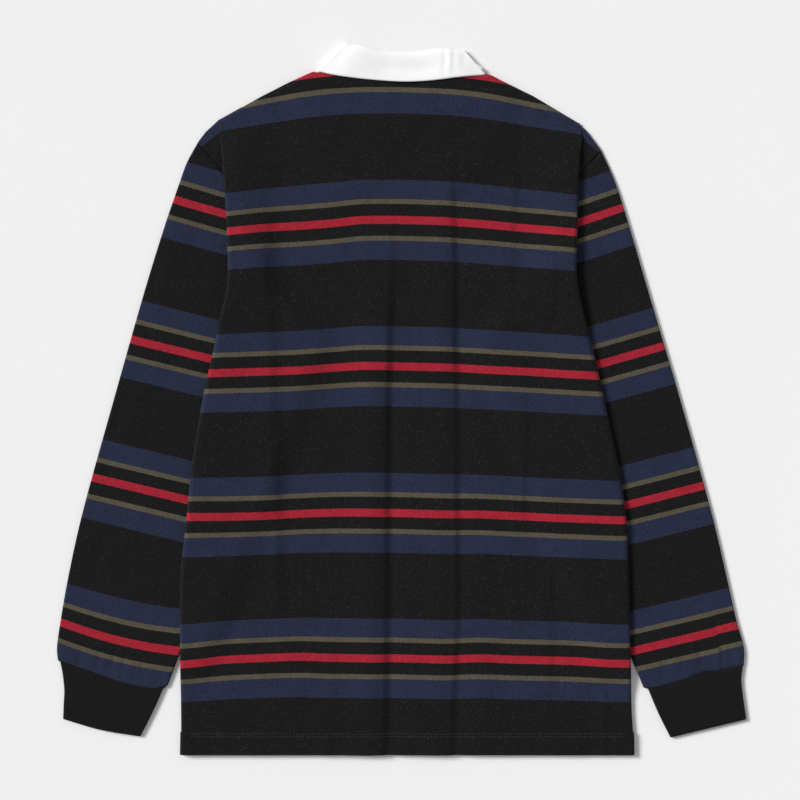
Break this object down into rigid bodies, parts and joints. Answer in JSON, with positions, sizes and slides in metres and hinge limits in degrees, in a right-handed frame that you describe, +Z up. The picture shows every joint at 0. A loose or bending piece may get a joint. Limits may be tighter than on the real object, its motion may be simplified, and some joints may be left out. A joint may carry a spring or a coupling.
{
  "type": "rugby shirt laid flat",
  "caption": "Long-sleeved striped rugby shirt laid face down, sleeves tucked under its sides, with ribbed cuffs and a plain white collar",
  "frame": {"origin": "centre of the laid shirt's outline, on the surface that it lies on", "axes": "+Z up from the surface, +Y from the hem towards the collar, +X to the right as seen from above, looking at the shirt's back"},
  "size_m": [0.7388, 0.7638, 0.0137],
  "materials": {
    "jersey_front": "heavy cotton jersey, black with navy, olive and red bands",
    "jersey_back": "heavy cotton jersey, black with navy, olive and red bands",
    "jersey_sleeve": "heavy cotton jersey, black with navy, olive and red bands",
    "rib": "doubled black rib knit",
    "collar": "plain white cotton twill",
    "placket": "black cotton",
    "button": "matt off-white"
  },
  "bodies": {
    "root": {"front_panel": "jersey_front", "back_panel": "jersey_back", "sleeve_left": "jersey_sleeve", "sleeve_right": "jersey_sleeve", "cuff_left": "rib", "cuff_right": "rib", "collar_leaf": "collar", "collar_stand": "collar", "placket_outer": "placket", "placket_under": "placket", "button_1": "button", "button_2": "button", "button_3": "button"}
  },
  "joints": []
}
